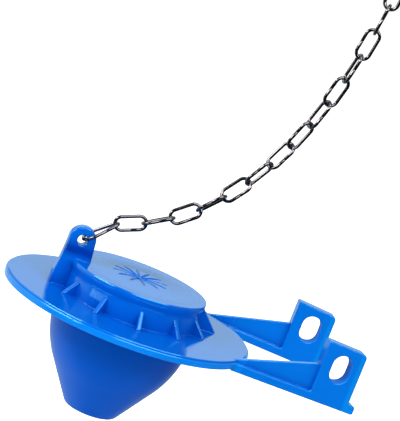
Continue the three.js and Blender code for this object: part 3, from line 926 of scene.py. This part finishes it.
def loop_path(start_radius, end_radius, length, steps=14):
    """The centre line of a wire loop that lies along X, from one side of its butt joint to the other."""
    start_x = -length / 2 + wire_radius + start_radius
    end_x = length / 2 - wire_radius - end_radius
    spread = acos((start_radius - end_radius) / (end_x - start_x)) * 180 / pi
    end_crown = arc(end_x, 0, end_radius, -spread, spread, 2 * steps)
    start_crown = arc(start_x, 0, start_radius, spread, 360 - spread, 2 * steps)
    crowns = [Vector(p) for p in end_crown + start_crown]
    seam = (crowns[0] + crowns[-1]) / 2
    towards = (crowns[0] - crowns[-1]).normalized() * BUTT_GAP
    path = [seam + towards] + crowns + [seam - towards]
    return [(p.x, p.y, 0) for p in path]


def link_place(start, direction, side):
    """The place of a piece that is drawn along X with its width along Y."""
    across = direction.cross(side).normalized()
    turn = Matrix((direction, across.cross(direction), across)).transposed().to_4x4()
    return Matrix.Translation(start) @ turn


def lift_chain():
    """Every link where its joints are, from the ear up to the hook."""
    steel = bright_wire_steel()
    swings = {joint["child"]: joint for joint in frame["joints"]}
    bodies = [f"link_{number:02d}" for number in range(1, LINK_COUNT + 1)]
    crowns = [Vector(swings[body]["pos_m"]) / MM for body in bodies + ["hook"]]
    sides = [Vector(swings[body]["axis"]) for body in bodies[1:] + ["hook"]]
    directions = [(end - start).normalized() for start, end in zip(crowns, crowns[1:])]
    oval = LINK_WIDTH / 2 - wire_radius
    for i, body in enumerate(bodies):
        if i == 0:
            length, crown_radii = EAR_LINK_LENGTH, (EAR_LINK_BOW, EAR_LINK_TIP)
        else:
            length = (crowns[i + 1] - crowns[i]).length + CROWN_SEAT + WIRE_DIAMETER
            crown_radii = (oval, oval)
        centre = crowns[i + 1] + directions[i] * (wire_radius - length / 2)
        place = link_place(centre, directions[i], sides[i])
        link = Moulding()
        wire(link, loop_path(*crown_radii, length), (0, 0, 1), wire_radius + WIRE_SWELL, place)
        made = link.piece(f"wire_{body}", steel, body, WIRE_SMOOTH_ANGLE, weighted=False)
        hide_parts(f"chain_{body}")
    direction = directions[-1] + (directions[-1] - directions[-2])
    side = Matrix.Rotation(radians(LINK_ROLL), 3, directions[-1]) @ -sides[-1]
    lever_hook(steel, link_place(crowns[-1], direction.normalized(), side))


def lever_hook(steel, place):
    """The wire hook for the flush lever, with the eye that holds the last link."""
    eye_x = HOOK_EYE_RADIUS - CROWN_SEAT
    shank_end = eye_x + HOOK_EYE_RADIUS + HOOK_SHANK
    path = arc(eye_x, 0, HOOK_EYE_RADIUS, *HOOK_EYE_ARC, HOOK_STEPS)
    path += arc(shank_end, HOOK_EYE_RADIUS - HOOK_RADIUS, HOOK_RADIUS, *HOOK_ARC, HOOK_STEPS)
    hook = Moulding()
    wire(hook, [(x, y, 0) for x, y in path], (0, 0, 1), wire_radius + WIRE_SWELL, place)
    made = hook.piece("wire_lever_hook", steel, "hook", WIRE_SMOOTH_ANGLE, weighted=False)
    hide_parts("lever_hook")


# The studio

def place_camera():
    """The camera at the photograph's angle, with the object where the photograph has it."""
    azimuth, elevation, roll = (radians(v) for v in (CAMERA_AZIMUTH, CAMERA_ELEVATION, CAMERA_ROLL))
    back = Vector((sin(azimuth) * cos(elevation), -cos(azimuth) * cos(elevation), sin(elevation)))
    level = Vector((cos(azimuth), sin(azimuth), 0))
    above = back.cross(level)
    right = level * cos(roll) + above * sin(roll)
    up = above * cos(roll) - level * sin(roll)
    centre = Vector((0, 0, FLANGE_TOP)) + back * CAMERA_DISTANCE
    centre += right * CAMERA_SHIFT[0] + up * CAMERA_SHIFT[1]
    lens = bpy.data.cameras.new("photo_camera")
    lens.sensor_width = SENSOR_WIDTH
    lens.lens = PIXELS_PER_MM * CAMERA_DISTANCE * SENSOR_WIDTH / PHOTO_LONG_SIDE
    lens.clip_start = 0.01
    camera = bpy.data.objects.new("photo_camera", lens)
    turn = Matrix((right, up, back)).transposed().to_4x4()
    camera.matrix_world = Matrix.Translation(centre * MM) @ turn
    bpy.context.scene.collection.objects.link(camera)
    bpy.context.scene.camera = camera


def soft_box(name, azimuth, elevation, distance, width, height, watts):
    """A rectangular lamp that looks at the middle of the lid."""
    azimuth, elevation = radians(azimuth), radians(elevation)
    towards = Vector((cos(azimuth) * cos(elevation), sin(azimuth) * cos(elevation), sin(elevation)))
    lamp = bpy.data.lights.new(name, "AREA")
    lamp.shape = "RECTANGLE"
    lamp.size = width
    lamp.size_y = height
    lamp.energy = watts
    box = bpy.data.objects.new(name, lamp)
    turn = towards.to_track_quat("Z", "Y").to_matrix().to_4x4()
    box.matrix_world = Matrix.Translation(towards * distance) @ turn
    bpy.context.scene.collection.objects.link(box)


def surroundings(finish, direction):
    """What shiny faces see round them: pale at the back, dim to the right and dark at the front."""
    turn = radians(CAMERA_AZIMUTH)
    facing = finish.dot(direction, (sin(turn), -cos(turn), 0))
    beside = finish.dot(direction, (cos(turn), sin(turn), 0))
    dark = ((facing - DARK_FROM) / DARK_BLEND).clamped()
    dim = ((beside - DIM_FROM) / DIM_BLEND).clamped()
    pale = PALE_SIDE - (PALE_SIDE - DIM_SIDE) * dim
    return pale * (1 - dark) + DARK_SIDE * dark


def studio_air():
    """The room: white to the camera, and in reflections darker towards the ceiling."""
    world = bpy.data.worlds.new("studio_air")
    bpy.context.scene.world = world
    air = Finish(world)
    direction = air.node("ShaderNodeTexCoord", output="Generated")
    height = air.part(direction, "Z")
    ceiling = ((height - CEILING_FROM) / CEILING_BLEND).clamped()
    raised = HORIZON_SHARE + HEIGHT_GAIN * height.clamped()
    glossy = surroundings(air, direction) * raised * (1 - CEILING_SHADE * ceiling)
    is_camera, is_mirrored = air.ray_kinds()
    is_diffuse = (1 - is_camera) * (1 - is_mirrored)
    brightness = is_camera + is_mirrored * glossy + is_diffuse * ROOM_LIGHT
    tint = air.blend(is_mirrored, WHITE, ROOM_TINT)
    surface = air.node("ShaderNodeBackground", {}, {"Color": tint, "Strength": brightness})
    air.node("ShaderNodeOutputWorld", {}, {"Surface": surface})


def pale_floor():
    """A wide pale floor, white in the distance, that takes a soft shadow and is clear from beneath."""
    disc = bmesh.new()
    bmesh.ops.create_circle(disc, cap_ends=True, radius=FLOOR_RADIUS * MM, segments=FLOOR_SIDES)
    mesh = bpy.data.meshes.new("pale_floor")
    disc.to_mesh(mesh)
    disc.free()
    floor = bpy.data.objects.new("pale_floor", mesh)
    floor.location.z = FLOOR_Z * MM
    bpy.context.scene.collection.objects.link(floor)
    material, finish = new_material("pale_floor_paper")
    place = finish.node("ShaderNodeTexCoord", output="Object")
    direction = finish.vector_math("NORMALIZE", place)
    far = ((finish.length(place) - FLOOR_WHITE_FROM) / FLOOR_WHITE_BLEND).clamped()
    is_camera, is_mirrored = finish.ray_kinds()
    colour = finish.blend(finish.noise(scale=40), *PAPER_GREYS)
    paper = finish.node("ShaderNodeBsdfDiffuse", {}, {"Color": colour})
    white = is_camera * (FLOOR_GLOW + far)
    glow = finish.node("ShaderNodeEmission", {}, {"Color": WHITE, "Strength": white})
    seen = finish.node("ShaderNodeAddShader", {}, {0: paper, 1: glow})
    shine = surroundings(finish, direction)
    mirrored = finish.node("ShaderNodeEmission", {}, {"Color": ROOM_TINT, "Strength": shine})
    above = finish.node("ShaderNodeMixShader", {}, {0: is_mirrored, 1: seen, 2: mirrored})
    from_beneath = finish.node("ShaderNodeNewGeometry", output="Backfacing")
    clear = finish.node("ShaderNodeBsdfTransparent")
    both = finish.node("ShaderNodeMixShader", {}, {0: from_beneath, 1: above, 2: clear})
    finish.node("ShaderNodeOutputMaterial", {}, {"Surface": both})
    mesh.materials.append(material)


place_camera()
moulded_lid()
seal_and_float()
lift_chain()
pale_floor()
studio_air()
for lamp_row in LAMPS:
    soft_box(*lamp_row)
bpy.context.scene.view_settings.view_transform = "Standard"
